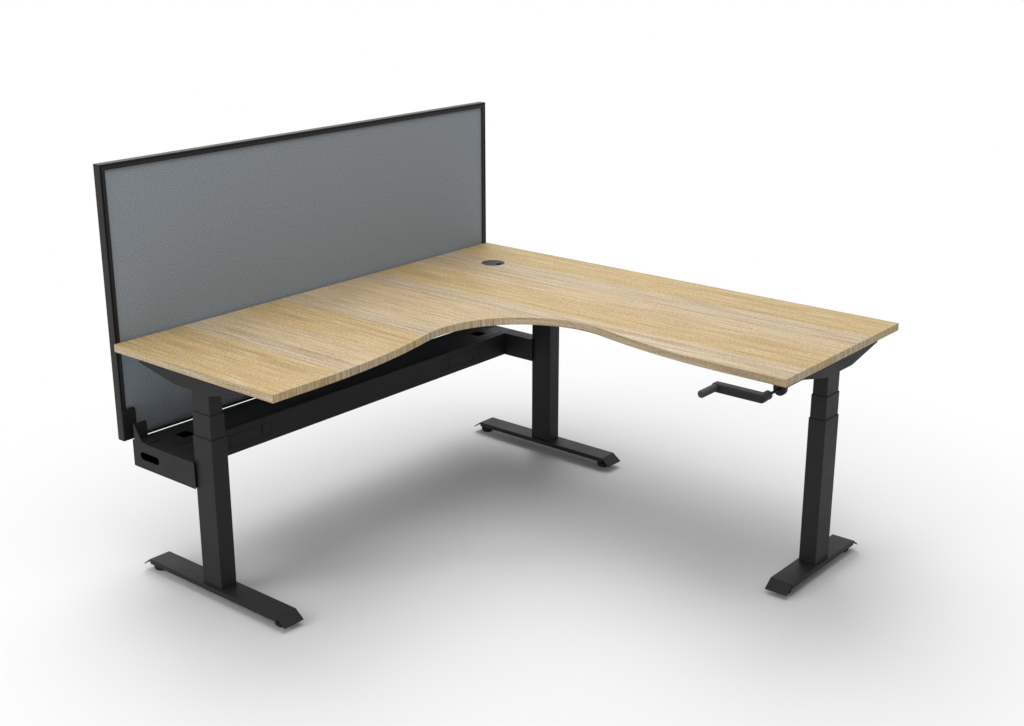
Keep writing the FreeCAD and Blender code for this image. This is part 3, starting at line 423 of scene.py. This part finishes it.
@dataclass(frozen=True)
class Finish:
    """A named surface finish; subclasses wire what the surface shows."""

    name: str
    bump: float
    bump_depth: float

    def material(self) -> bpy.types.Material:
        """Make the material, or find the one made before.

        Returns:
            The material.
        """
        found = bpy.data.materials.get(self.name)
        if found is not None:
            return found
        made = bpy.data.materials.new(self.name)
        made.use_nodes = True
        wiring = Wiring(made.node_tree)
        self.wire(wiring, made.node_tree.nodes["Principled BSDF"])
        return made

    def wire(self, wiring: Wiring, shader: bpy.types.Node) -> None:
        """Wire the finish into its shader.

        Args:
            wiring: The material's wiring.
            shader: The material's Principled BSDF.
        """
        raise NotImplementedError

    def raise_surface(self, wiring: Wiring, shader: bpy.types.Node, height: Socket) -> None:
        """Bump the surface by a height.

        Args:
            wiring: The material's wiring.
            shader: The material's Principled BSDF.
            height: The height.
        """
        bump = wiring.add("ShaderNodeBump", {"Strength": self.bump, "Distance": self.bump_depth,
                                             "Height": height})
        wiring.feed(shader.inputs["Normal"], bump.outputs[0])


@dataclass(frozen=True)
class OakTop(Finish):
    """Oak-print laminate with its grain along the desk's depth, and a plain backing sheet under the board."""

    specular: float = 0.14
    backing_dark: Colour = (0.20, 0.20, 0.20, 1.0)
    backing_light: Colour = (0.26, 0.26, 0.26, 1.0)
    backing_scale: float = 300.0
    underside: Span = Span(-0.5, -0.6)

    def wire(self, wiring: Wiring, shader: bpy.types.Node) -> None:
        """Wire the figure across X and along Y, and the backing where the surface faces down.

        Args:
            wiring: The material's wiring.
            shader: The material's Principled BSDF.
        """
        where = wiring.place()
        x, y, _ = wiring.split(where)
        figure = OAK_FIGURE.use(wiring, {"Across": x, "Along": y}).outputs
        facing = wiring.split(wiring.add("ShaderNodeNewGeometry").outputs["Normal"])[2]
        grain = SPECKLE.use(wiring, {"Vector": where, "Scale": self.backing_scale}).outputs["Grain"]
        backing = wiring.mix(grain, self.backing_dark, self.backing_light)
        colour = wiring.mix(wiring.ramp(facing, self.underside), figure["Color"], backing)
        wiring.feed(shader.inputs["Base Color"], colour)
        wiring.feed(shader.inputs["Roughness"], figure["Gloss"])
        shader.inputs["Specular IOR Level"].default_value = self.specular
        self.raise_surface(wiring, shader, figure["Height"])


@dataclass(frozen=True)
class OakBand(Finish):
    """Oak-print edge band: upright lines on the front edges and long lines on the side edges."""

    upright_stretch: float = 0.35
    side_offset: float = -1.28
    sideways: Span = Span(0.62, 0.78)

    def wire(self, wiring: Wiring, shader: bpy.types.Node) -> None:
        """Wire two figures and choose between them by the way the edge faces.

        Args:
            wiring: The material's wiring.
            shader: The material's Principled BSDF.
        """
        x, y, z = wiring.split(wiring.place())
        rise = wiring.maths("MULTIPLY", z, self.upright_stretch)
        drop = wiring.maths("ADD", z, self.side_offset)
        upright = OAK_FIGURE.use(wiring, {"Across": x, "Along": rise}).outputs
        lengthwise = OAK_FIGURE.use(wiring, {"Across": drop, "Along": y}).outputs
        facing = wiring.split(wiring.add("ShaderNodeNewGeometry").outputs["Normal"])[0]
        sideways = wiring.ramp(wiring.maths("ABSOLUTE", facing), self.sideways)
        wiring.feed(shader.inputs["Base Color"], wiring.mix(sideways, upright["Color"], lengthwise["Color"]))
        wiring.feed(shader.inputs["Roughness"], upright["Gloss"])
        self.raise_surface(wiring, shader, upright["Height"])


@dataclass(frozen=True)
class SpeckledFinish(Finish):
    """A sprayed, moulded or anodised surface: an even colour with a fine grain."""

    colour: tuple[float, float, float]
    tint: float
    roughness: tuple[float, float]
    scale: float
    specular: float = 0.22
    grain_share: float = 0.7
    spread: Span = Span(0.3, 0.7)

    def wire(self, wiring: Wiring, shader: bpy.types.Node) -> None:
        """Wire the grain into colour, roughness and height.

        Args:
            wiring: The material's wiring.
            shader: The material's Principled BSDF.
        """
        speckle = SPECKLE.use(wiring, {"Vector": wiring.place(), "Scale": self.scale}).outputs
        grain, cloud = speckle["Grain"], speckle["Cloud"]
        amount = wiring.maths("ADD", wiring.maths("MULTIPLY", grain, self.grain_share),
                              wiring.maths("MULTIPLY", cloud, 1 - self.grain_share))
        dark, light = [(*[part * share for part in self.colour], 1.0)
                       for share in (1 - self.tint, 1 + self.tint)]
        wiring.feed(shader.inputs["Base Color"], wiring.mix(wiring.ramp(amount, self.spread), dark, light))
        roughness = wiring.ramp(cloud, Span(self.spread.low, self.spread.high, *self.roughness))
        wiring.feed(shader.inputs["Roughness"], roughness)
        shader.inputs["Specular IOR Level"].default_value = self.specular
        self.raise_surface(wiring, shader, grain)


@dataclass(frozen=True)
class DrawnSteel(Finish):
    """Plated steel with fine drawn lines along Z."""

    dark: Colour = (0.448, 0.456, 0.464, 1.0)
    light: Colour = (0.56, 0.57, 0.58, 1.0)
    scale: float = 1500.0
    stretch: float = 0.05
    roughness: Span = Span(0.3, 0.7, 0.24, 0.42)

    def wire(self, wiring: Wiring, shader: bpy.types.Node) -> None:
        """Wire stretched lines into colour, roughness and height.

        Args:
            wiring: The material's wiring.
            shader: The material's Principled BSDF.
        """
        x, y, z = wiring.split(wiring.place())
        lines = wiring.noise(wiring.vector(x, y, wiring.maths("MULTIPLY", z, self.stretch)), self.scale)
        wiring.feed(shader.inputs["Base Color"], wiring.mix(lines, self.dark, self.light))
        wiring.feed(shader.inputs["Roughness"], wiring.ramp(lines, self.roughness))
        shader.inputs["Metallic"].default_value = 1.0
        self.raise_surface(wiring, shader, lines)


@dataclass(frozen=True)
class WovenCloth(Finish):
    """Blue-grey upholstery cloth, woven, with slightly heathered yarn."""

    dark: Colour = (0.190, 0.217, 0.248, 1.0)
    light: Colour = (0.372, 0.424, 0.482, 1.0)
    pitch: float = 1.6 * MM
    sheen: float = 0.15
    specular: float = 0.25
    shade: Span = Span(0.38, 0.62)
    roughness: Span = Span(0.3, 0.7, 0.98, 0.86)

    def wire(self, wiring: Wiring, shader: bpy.types.Node) -> None:
        """Wire the weave into colour, roughness and height.

        Args:
            wiring: The material's wiring.
            shader: The material's Principled BSDF.
        """
        x, _, z = wiring.split(wiring.place())
        weave = WEAVE.use(wiring, {"Across": x, "Along": z, "Pitch": self.pitch}).outputs
        shade = wiring.ramp(weave["Shade"], self.shade)
        wiring.feed(shader.inputs["Base Color"], wiring.mix(shade, self.dark, self.light))
        wiring.feed(shader.inputs["Roughness"], wiring.ramp(weave["Shade"], self.roughness))
        shader.inputs["Specular IOR Level"].default_value = self.specular
        shader.inputs["Sheen Weight"].default_value = self.sheen
        self.raise_surface(wiring, shader, weave["Height"])


FINISHES: dict[Slot, Finish] = {
    Slot.OAK: OakTop("oak_top", bump=0.12, bump_depth=0.3 * MM),
    Slot.OAK_EDGE: OakBand("oak_band", bump=0.1, bump_depth=0.3 * MM),
    Slot.COAT: SpeckledFinish("powder_coat", bump=0.22, bump_depth=0.2 * MM, colour=(0.0150, 0.0150, 0.0152),
                              tint=0.3, roughness=(0.50, 0.62), scale=1100.0),
    Slot.PLASTIC: SpeckledFinish("moulded_plastic", bump=0.10, bump_depth=0.2 * MM,
                                 colour=(0.0140, 0.0140, 0.0142), tint=0.2, roughness=(0.48, 0.6),
                                 scale=1500.0),
    Slot.GRIP: SpeckledFinish("grip_plastic", bump=0.12, bump_depth=0.2 * MM, colour=(0.0150, 0.0150, 0.0155),
                              tint=0.2, roughness=(0.42, 0.55), scale=700.0),
    Slot.STEEL: DrawnSteel("plated_steel", bump=0.08, bump_depth=0.1 * MM),
    Slot.ALUMINIUM: SpeckledFinish("anodised_black", bump=0.06, bump_depth=0.1 * MM,
                                   colour=(0.0120, 0.0120, 0.0124), tint=0.2, roughness=(0.36, 0.46),
                                   scale=2000.0),
    Slot.FABRIC: WovenCloth("woven_cloth", bump=0.35, bump_depth=0.6 * MM),
}


def show(name: str, data: bpy.types.ID) -> bpy.types.Object:
    """Put a new object into the scene.

    Args:
        name: The object's name.
        data: Its mesh, lamp or camera.

    Returns:
        The object.
    """
    thing = bpy.data.objects.new(name, data)
    bpy.context.scene.collection.objects.link(thing)
    return thing


def mesh_of(name: str, shape: bmesh.types.BMesh) -> bpy.types.Mesh:
    """Turn an edited shape into a mesh.

    Args:
        name: The mesh's name.
        shape: The shape, which is freed.

    Returns:
        The mesh.
    """
    mesh = bpy.data.meshes.new(name)
    shape.to_mesh(mesh)
    shape.free()
    return mesh


@dataclass
class Workshop:
    """Turns meshes into finished pieces of the desk."""

    bodies: dict[str, str] = field(default_factory=dict)
    slots: dict[str, Slot] = field(default_factory=dict)
    weld: float = 0.01 * MM
    flat_angle: float = math.radians(0.4)
    smooth_angle: float = math.radians(32.0)

    def __post_init__(self) -> None:
        """Read which body and material slot each CAD node has."""
        record = frame["record"]
        for body, nodes in record["behaviour"]["bodies"].items():
            for node in nodes:
                self.bodies[node] = body
        for part in record["subparts"]:
            self.slots[part["node"]] = Slot(part["material_slot"])

    def paint(self, node: str) -> None:
        """Give a CAD node that stays its finish.

        Args:
            node: The node's name.
        """
        thing = frame["nodes"][node]
        thing.data.materials.clear()
        thing.data.materials.append(FINISHES[self.slots[node]].material())
        LOG.info("painted %s", node)

    def copy_of(self, node: str) -> bmesh.types.BMesh:
        """A CAD node's mesh with its loose triangles joined into whole faces.

        Args:
            node: The node's name.

        Returns:
            The joined mesh.
        """
        shape = bmesh.new()
        shape.from_mesh(frame["nodes"][node].data)
        bmesh.ops.remove_doubles(shape, verts=shape.verts, dist=self.weld)
        bmesh.ops.dissolve_limit(shape, angle_limit=self.flat_angle, verts=shape.verts, edges=shape.edges)
        return shape

    def soften(self, shape: bmesh.types.BMesh, width: float, segments: int,
               keep: Callable[[bmesh.types.BMEdge], bool] | None = None) -> None:
        """Round the sharp edges of a mesh.

        Args:
            shape: The mesh.
            width: How far the rounding reaches.
            segments: How many faces go round.
            keep: Tells which of the sharp edges are rounded.
        """
        sharp = [edge for edge in shape.edges
                 if edge.is_manifold and edge.calc_face_angle() > self.smooth_angle
                 and (keep is None or keep(edge))]
        bmesh.ops.bevel(shape, geom=sharp, offset=width, offset_type="OFFSET", affect="EDGES",
                        segments=segments, profile=0.5, material=-1, clamp_overlap=True)

    def finish(self, name: str, shape: bmesh.types.BMesh, node: str) -> bpy.types.Object:
        """Make a finished piece that stands for a CAD node, with the node's body and slot.

        Args:
            name: The piece's name.
            shape: Its mesh, which is freed.
            node: The CAD node.

        Returns:
            The piece.
        """
        mesh = mesh_of(name, shape)
        mesh.materials.append(FINISHES[self.slots[node]].material())
        mesh.shade_smooth()
        mesh.set_sharp_from_angle(angle=self.smooth_angle)
        piece = show(name, mesh)
        piece.modifiers.new("even_shading", "WEIGHTED_NORMAL").keep_sharp = True
        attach(piece, self.bodies[node])
        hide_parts(node)
        LOG.info("made %s on %s", name, self.bodies[node])
        return piece

    def dress(self, node: str, width: float, segments: int = 2) -> None:
        """Replace a CAD node by its own shape with rounded edges.

        Args:
            node: The node's name.
            width: How far the rounding reaches.
            segments: How many faces go round an edge.
        """
        shape = self.copy_of(node)
        self.soften(shape, width, segments)
        self.finish(f"{node}_finished", shape, node)


@dataclass
class Worktop:
    """The oak-finish board, its edge band and the cable grommet."""

    shop: Workshop
    edge_round: float = 1.2 * MM
    edge_segments: int = 3
    grommet_round: float = 0.5 * MM

    def build(self) -> None:
        """Dress the board, the band's outer edges and the grommet."""
        self.shop.paint("worktop")
        self.band()
        for node in ("grommet_sleeve", "grommet_cap"):
            self.shop.dress(node, self.grommet_round)

    def band(self) -> None:
        """Round the outer edges of the edge band, and leave those against the board."""
        board = self.shop.copy_of("worktop")
        inner = {self.key(vertex.co) for vertex in board.verts}
        board.free()
        shape = self.shop.copy_of("edge_band")
        self.shop.soften(shape, self.edge_round, self.edge_segments,
                         lambda edge: not all(self.key(vertex.co) in inner for vertex in edge.verts))
        self.shop.finish("edge_band_finished", shape, "edge_band")

    def key(self, spot: Vector) -> tuple[int, ...]:
        """A place as whole steps of the weld distance."""
        return tuple(round(part / self.shop.weld) for part in spot)


def lathe(profile: list[tuple[float, float]], steps: int, weld: float) -> bmesh.types.BMesh:
    """Turn a profile of radius and height about the Z axis.

    Args:
        profile: Points from the bottom of the axis to its top.
        steps: How many faces go round.
        weld: How near to each other points are joined.

    Returns:
        The closed mesh.
    """
    shape = bmesh.new()
    points = [shape.verts.new((radius, 0.0, height)) for radius, height in profile]
    edges = [shape.edges.new(pair) for pair in zip(points, points[1:])]
    bmesh.ops.spin(shape, geom=points + edges, cent=(0, 0, 0), axis=(0, 0, 1), angle=math.tau, steps=steps,
                   use_merge=True)
    bmesh.ops.remove_doubles(shape, verts=shape.verts, dist=weld)
    bmesh.ops.recalc_face_normals(shape, faces=shape.faces)
    return shape


@dataclass
class Leg:
    """One telescopic leg with its foot, bracket and levellers."""

    shop: Workshop
    side: Side
    tube_round: float = 0.5 * MM
    foot_round: float = 0.9 * MM
    bracket_round: float = 0.8 * MM
    pad_radius: float = 24 * MM
    pad_height: float = 20 * MM
    sole_radius: float = 14 * MM
    sole_steps: int = 6
    rim_drop: float = 2.5 * MM
    rim_round: float = 1.0 * MM
    collar_foot: float = 9.5 * MM
    collar_top: float = 8.5 * MM
    stem_radius: float = 5 * MM
    root_radius: float = 4.3 * MM
    tip_radius: float = 3.5 * MM
    tip_run: float = 0.6 * MM
    thread_pitch: float = 1.5 * MM
    crest_share: float = 0.35
    root_share: float = 0.85
    faces_round: int = 40
    turned_weld: float = 0.001 * MM

    def build(self) -> None:
        """Dress every part of the leg."""
        name = self.side.value
        for stage in ("outer", "middle", "inner"):
            self.shop.dress(f"{name}_{stage}_tube", self.tube_round)
        self.shop.dress(f"{name}_foot", self.foot_round)
        self.shop.dress(f"{name}_top_bracket", self.bracket_round)
        for end in FootEnd:
            self.leveller(f"{name}_{end.value}_leveller")
        for part in ("upper_screw", "lower_screw", "nut_post", "crown_gear"):
            self.shop.paint(f"{name}_{part}")

    def leveller(self, node: str) -> None:
        """A turned levelling foot in place of a CAD leveller.

        Args:
            node: The CAD leveller.
        """
        low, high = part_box(node)
        shape = lathe(self.profile(high[2] - low[2]), self.faces_round, self.turned_weld)
        centre = Vector(((low[0] + high[0]) / 2, (low[1] + high[1]) / 2, low[2]))
        bmesh.ops.translate(shape, verts=shape.verts, vec=centre)
        self.shop.finish(f"{node}_finished", shape, node)

    def profile(self, top: float) -> list[tuple[float, float]]:
        """The outline of a leveller: a round-soled pad with a collar, and a threaded stem.

        Args:
            top: The leveller's height.

        Returns:
            Radius and height, from the bottom of the axis to its top.
        """
        edge = self.pad_radius - self.sole_radius
        rim = self.pad_height - self.rim_drop
        points = [(0.0, 0.0)]
        for step in range(self.sole_steps + 1):
            turn = step * math.pi / (2 * self.sole_steps)
            points.append((self.sole_radius + edge * math.sin(turn), edge * (1 - math.cos(turn))))
        points += [(self.pad_radius, rim), (self.pad_radius - self.rim_round, rim + self.rim_round),
                   (self.collar_foot, self.pad_height - self.rim_round), (self.collar_top, self.pad_height),
                   (self.stem_radius, self.pad_height)]
        for ring in range(int((top - self.pad_height - self.thread_pitch) / self.thread_pitch)):
            base = self.pad_height + ring * self.thread_pitch
            points += [(self.stem_radius, base + self.crest_share * self.thread_pitch),
                       (self.root_radius, base + self.root_share * self.thread_pitch)]
        return points + [(self.root_radius, top - self.tip_run), (self.tip_radius, top), (0.0, top)]


@dataclass
class Drive:
    """The gears, shafts, housings and guides under the worktop and in the legs."""

    shop: Workshop
    nodes: tuple[str, ...] = ("outer_tube_collars", "inner_tube_shoes", "bracket_screws", "foot_bearings",
                              "crank_pinions", "return_pinions", "main_pinions", "return_shaft", "main_shaft")
    housing_round: float = 0.8 * MM

    def build(self) -> None:
        """Dress the housings and paint the rest."""
        self.shop.dress("gearbox_housings", self.housing_round)
        for node in self.nodes:
            self.shop.paint(node)


@dataclass
class Crank:
    """The hand crank: shaft, hanger, arm and grip."""

    shop: Workshop
    hanger_round: float = 1.0 * MM
    hanger_segments: int = 3

    def build(self) -> None:
        """Dress the crank."""
        self.shop.dress("crank_bearing", self.hanger_round, self.hanger_segments)
        for node in ("crank_arm", "crank_grip", "crank_shaft"):
            self.shop.paint(node)


@dataclass
class CableBeam:
    """The sheet beam, its lid, outlet blanks and arms."""

    shop: Workshop
    fold_round: float = 0.6 * MM
    lid_round: float = 0.4 * MM
    blank_round: float = 0.3 * MM

    def build(self) -> None:
        """Dress the beam."""
        for node in ("cable_beam", "left_beam_arm", "corner_beam_arm"):
            self.shop.dress(node, self.fold_round)
        self.shop.dress("beam_lid", self.lid_round)
        self.shop.dress("socket_blanks", self.blank_round)


@dataclass
class Screen:
    """The fabric screen, its frame and its brackets."""

    shop: Workshop
    frame_round: float = 0.7 * MM
    plate_round: float = 0.6 * MM
    crown: float = 1.2 * MM
    tuck: float = 2.5 * MM
    roll: float = 30.0 * MM
    round_segments: int = 3
    cells: int = 24
    tightness: float = 1.0

    def build(self) -> None:
        """Dress the frame and brackets and cover the board."""
        self.shop.dress("screen_frame", self.frame_round, self.round_segments)
        self.shop.dress("screen_brackets", self.plate_round)
        self.shop.paint("screen_bracket_screws")
        self.board()

    def board(self) -> bpy.types.Object:
        """A board covered with taut cloth: both faces crown a little and roll in at the frame.

        Returns:
            The covered board.
        """
        low, high = (Vector(corner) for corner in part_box("screen_panel"))
        size = high - low
        half = Vector((size.x / 2, size.y / 2 - self.crown, size.z / 2))
        shape = bmesh.new()
        bmesh.ops.create_cube(shape, size=1.0)
        bmesh.ops.scale(shape, verts=shape.verts, vec=2 * half)
        bmesh.ops.bevel(shape, geom=list(shape.edges), offset=self.tuck, offset_type="OFFSET", affect="EDGES",
                        segments=self.round_segments, profile=0.5, material=-1)
        faces = [face for face in shape.faces if all(self.on_face(vertex, half) for vertex in face.verts)]
        cuts = dict.fromkeys(edge for face in faces for edge in face.edges)
        bmesh.ops.subdivide_edges(shape, edges=list(cuts), cuts=self.cells, use_grid_fill=True)
        for vertex in shape.verts:
            if self.on_face(vertex, half):
                inside = min(half.x - abs(vertex.co.x), half.z - abs(vertex.co.z)) - self.tuck
                rise = self.crown * (1 - math.exp(-max(inside, 0.0) / self.roll))
                vertex.co.y += math.copysign(rise, vertex.co.y)
        bmesh.ops.translate(shape, verts=shape.verts, vec=(low + high) / 2)
        return self.shop.finish("screen_cloth", shape, "screen_panel")

    def on_face(self, vertex: bmesh.types.BMVert, half: Vector) -> bool:
        """Whether a point lies on the board's front or back face."""
        return abs(abs(vertex.co.y) - half.y) < self.shop.weld


@dataclass(frozen=True)
class Lamp:
    """A square soft lamp: its place, what it points at, its side in metres and its power in watts."""

    name: str
    place: tuple[float, float, float]
    target: tuple[float, float, float]
    size: float
    power: float


@dataclass
class Studio:
    """Floor, light and camera."""

    floor_size: float = 60.0
    floor_cells: int = 8
    floor_colour: Colour = (0.81, 0.81, 0.81, 1.0)
    floor_roughness: float = 0.9
    floor_specular: float = 0.1
    fade_start: float = 0.95
    fade_end: float = 2.4
    sky: float = 0.34
    lamps: tuple[Lamp, ...] = (
        Lamp("overhead", (-0.9, -1.0, 5.2), (-0.6, -0.9, 0.0), 4.0, 118.0),
        Lamp("behind", (2.9, 3.7, 7.2), (0.1, -0.2, 0.5), 6.0, 420.0),
        Lamp("left_fill", (-5.0, 1.4, 3.0), (0.0, 0.0, 0.6), 3.0, 85.0))
    eye: tuple[float, float, float] = (-3.3636, -2.79425, 2.1027)
    pitch: float = math.radians(71.755)
    yaw: float = math.radians(-50.278)
    lens: float = 49.644
    sensor_width: float = 36.0

    def build(self) -> None:
        """Set up the whole studio."""
        self.floor()
        self.world()
        for lamp in self.lamps:
            self.light(lamp)
        self.camera()

    def floor(self) -> None:
        """A pale floor that keeps the desk's shadow and is white further off."""
        shape = bmesh.new()
        bmesh.ops.create_grid(shape, x_segments=self.floor_cells, y_segments=self.floor_cells,
                              size=self.floor_size / 2)
        mesh = mesh_of("studio_floor", shape)
        material = bpy.data.materials.new("studio_floor")
        material.use_nodes = True
        mesh.materials.append(material)
        wiring = Wiring(material.node_tree)
        nodes = material.node_tree.nodes
        shader = nodes["Principled BSDF"]
        shader.inputs["Base Color"].default_value = self.floor_colour
        shader.inputs["Roughness"].default_value = self.floor_roughness
        shader.inputs["Specular IOR Level"].default_value = self.floor_specular
        white = wiring.add("ShaderNodeEmission", {"Color": WHITE, "Strength": 1.0})
        distance = wiring.add("ShaderNodeVectorMath", {0: wiring.place()}, operation="LENGTH").outputs
        far = wiring.add("ShaderNodeMapRange", {0: distance["Value"], 1: self.fade_start, 2: self.fade_end},
                         interpolation_type="SMOOTHSTEP").outputs[0]
        amount = wiring.maths("MULTIPLY", far, self.seen(wiring))
        mixed = wiring.add("ShaderNodeMixShader", {0: amount, 1: shader.outputs[0], 2: white.outputs[0]})
        wiring.feed(nodes["Material Output"].inputs["Surface"], mixed.outputs[0])
        show("studio_floor", mesh)

    @staticmethod
    def seen(wiring: Wiring) -> Socket:
        """Whether a ray comes from the eye, straight or through a reflection or glass.

        Args:
            wiring: The wiring of the material or world.

        Returns:
            One where it does, and zero elsewhere.
        """
        path = wiring.add("ShaderNodeLightPath").outputs
        direct = wiring.maths("MAXIMUM", path["Is Camera Ray"], path["Is Transmission Ray"])
        return wiring.maths("MAXIMUM", direct, path["Is Glossy Ray"])

    def world(self) -> None:
        """A white surround for the eye and for reflections, with less light in it."""
        world = bpy.data.worlds.new("studio_world")
        bpy.context.scene.world = world
        world.use_nodes = True
        wiring = Wiring(world.node_tree)
        back = world.node_tree.nodes["Background"]
        back.inputs["Color"].default_value = WHITE
        wiring.feed(back.inputs["Strength"], wiring.ramp(self.seen(wiring), Span(0.0, 1.0, self.sky, 1.0)))

    def light(self, lamp: Lamp) -> None:
        """Hang a lamp.

        Args:
            lamp: The lamp.
        """
        light = bpy.data.lights.new(lamp.name, "AREA")
        light.shape = "SQUARE"
        light.size = lamp.size
        light.energy = lamp.power
        aim = (Vector(lamp.target) - Vector(lamp.place)).to_track_quat("-Z", "Y").to_matrix().to_4x4()
        show(lamp.name, light).matrix_world = Matrix.Translation(lamp.place) @ aim

    def camera(self) -> None:
        """A camera where the photograph's stood."""
        view = bpy.data.cameras.new("eye")
        view.lens = self.lens
        view.sensor_width = self.sensor_width
        view.sensor_fit = "HORIZONTAL"
        holder = show("eye", view)
        holder.location = self.eye
        holder.rotation_euler = (self.pitch, 0.0, self.yaw)
        bpy.context.scene.camera = holder


def main() -> None:
    """Build the desk's pieces in order, then the studio."""
    logging.basicConfig(level=logging.INFO, format="%(name)s %(message)s")
    bpy.context.scene.view_settings.view_transform = "Standard"
    shop = Workshop()
    parts = [Worktop(shop), *[Leg(shop, side) for side in Side], Drive(shop), Crank(shop), CableBeam(shop),
             Screen(shop), Studio()]
    for part in parts:
        LOG.info("building %s", type(part).__name__)
        part.build()


if __name__ == "__main__":
    main()
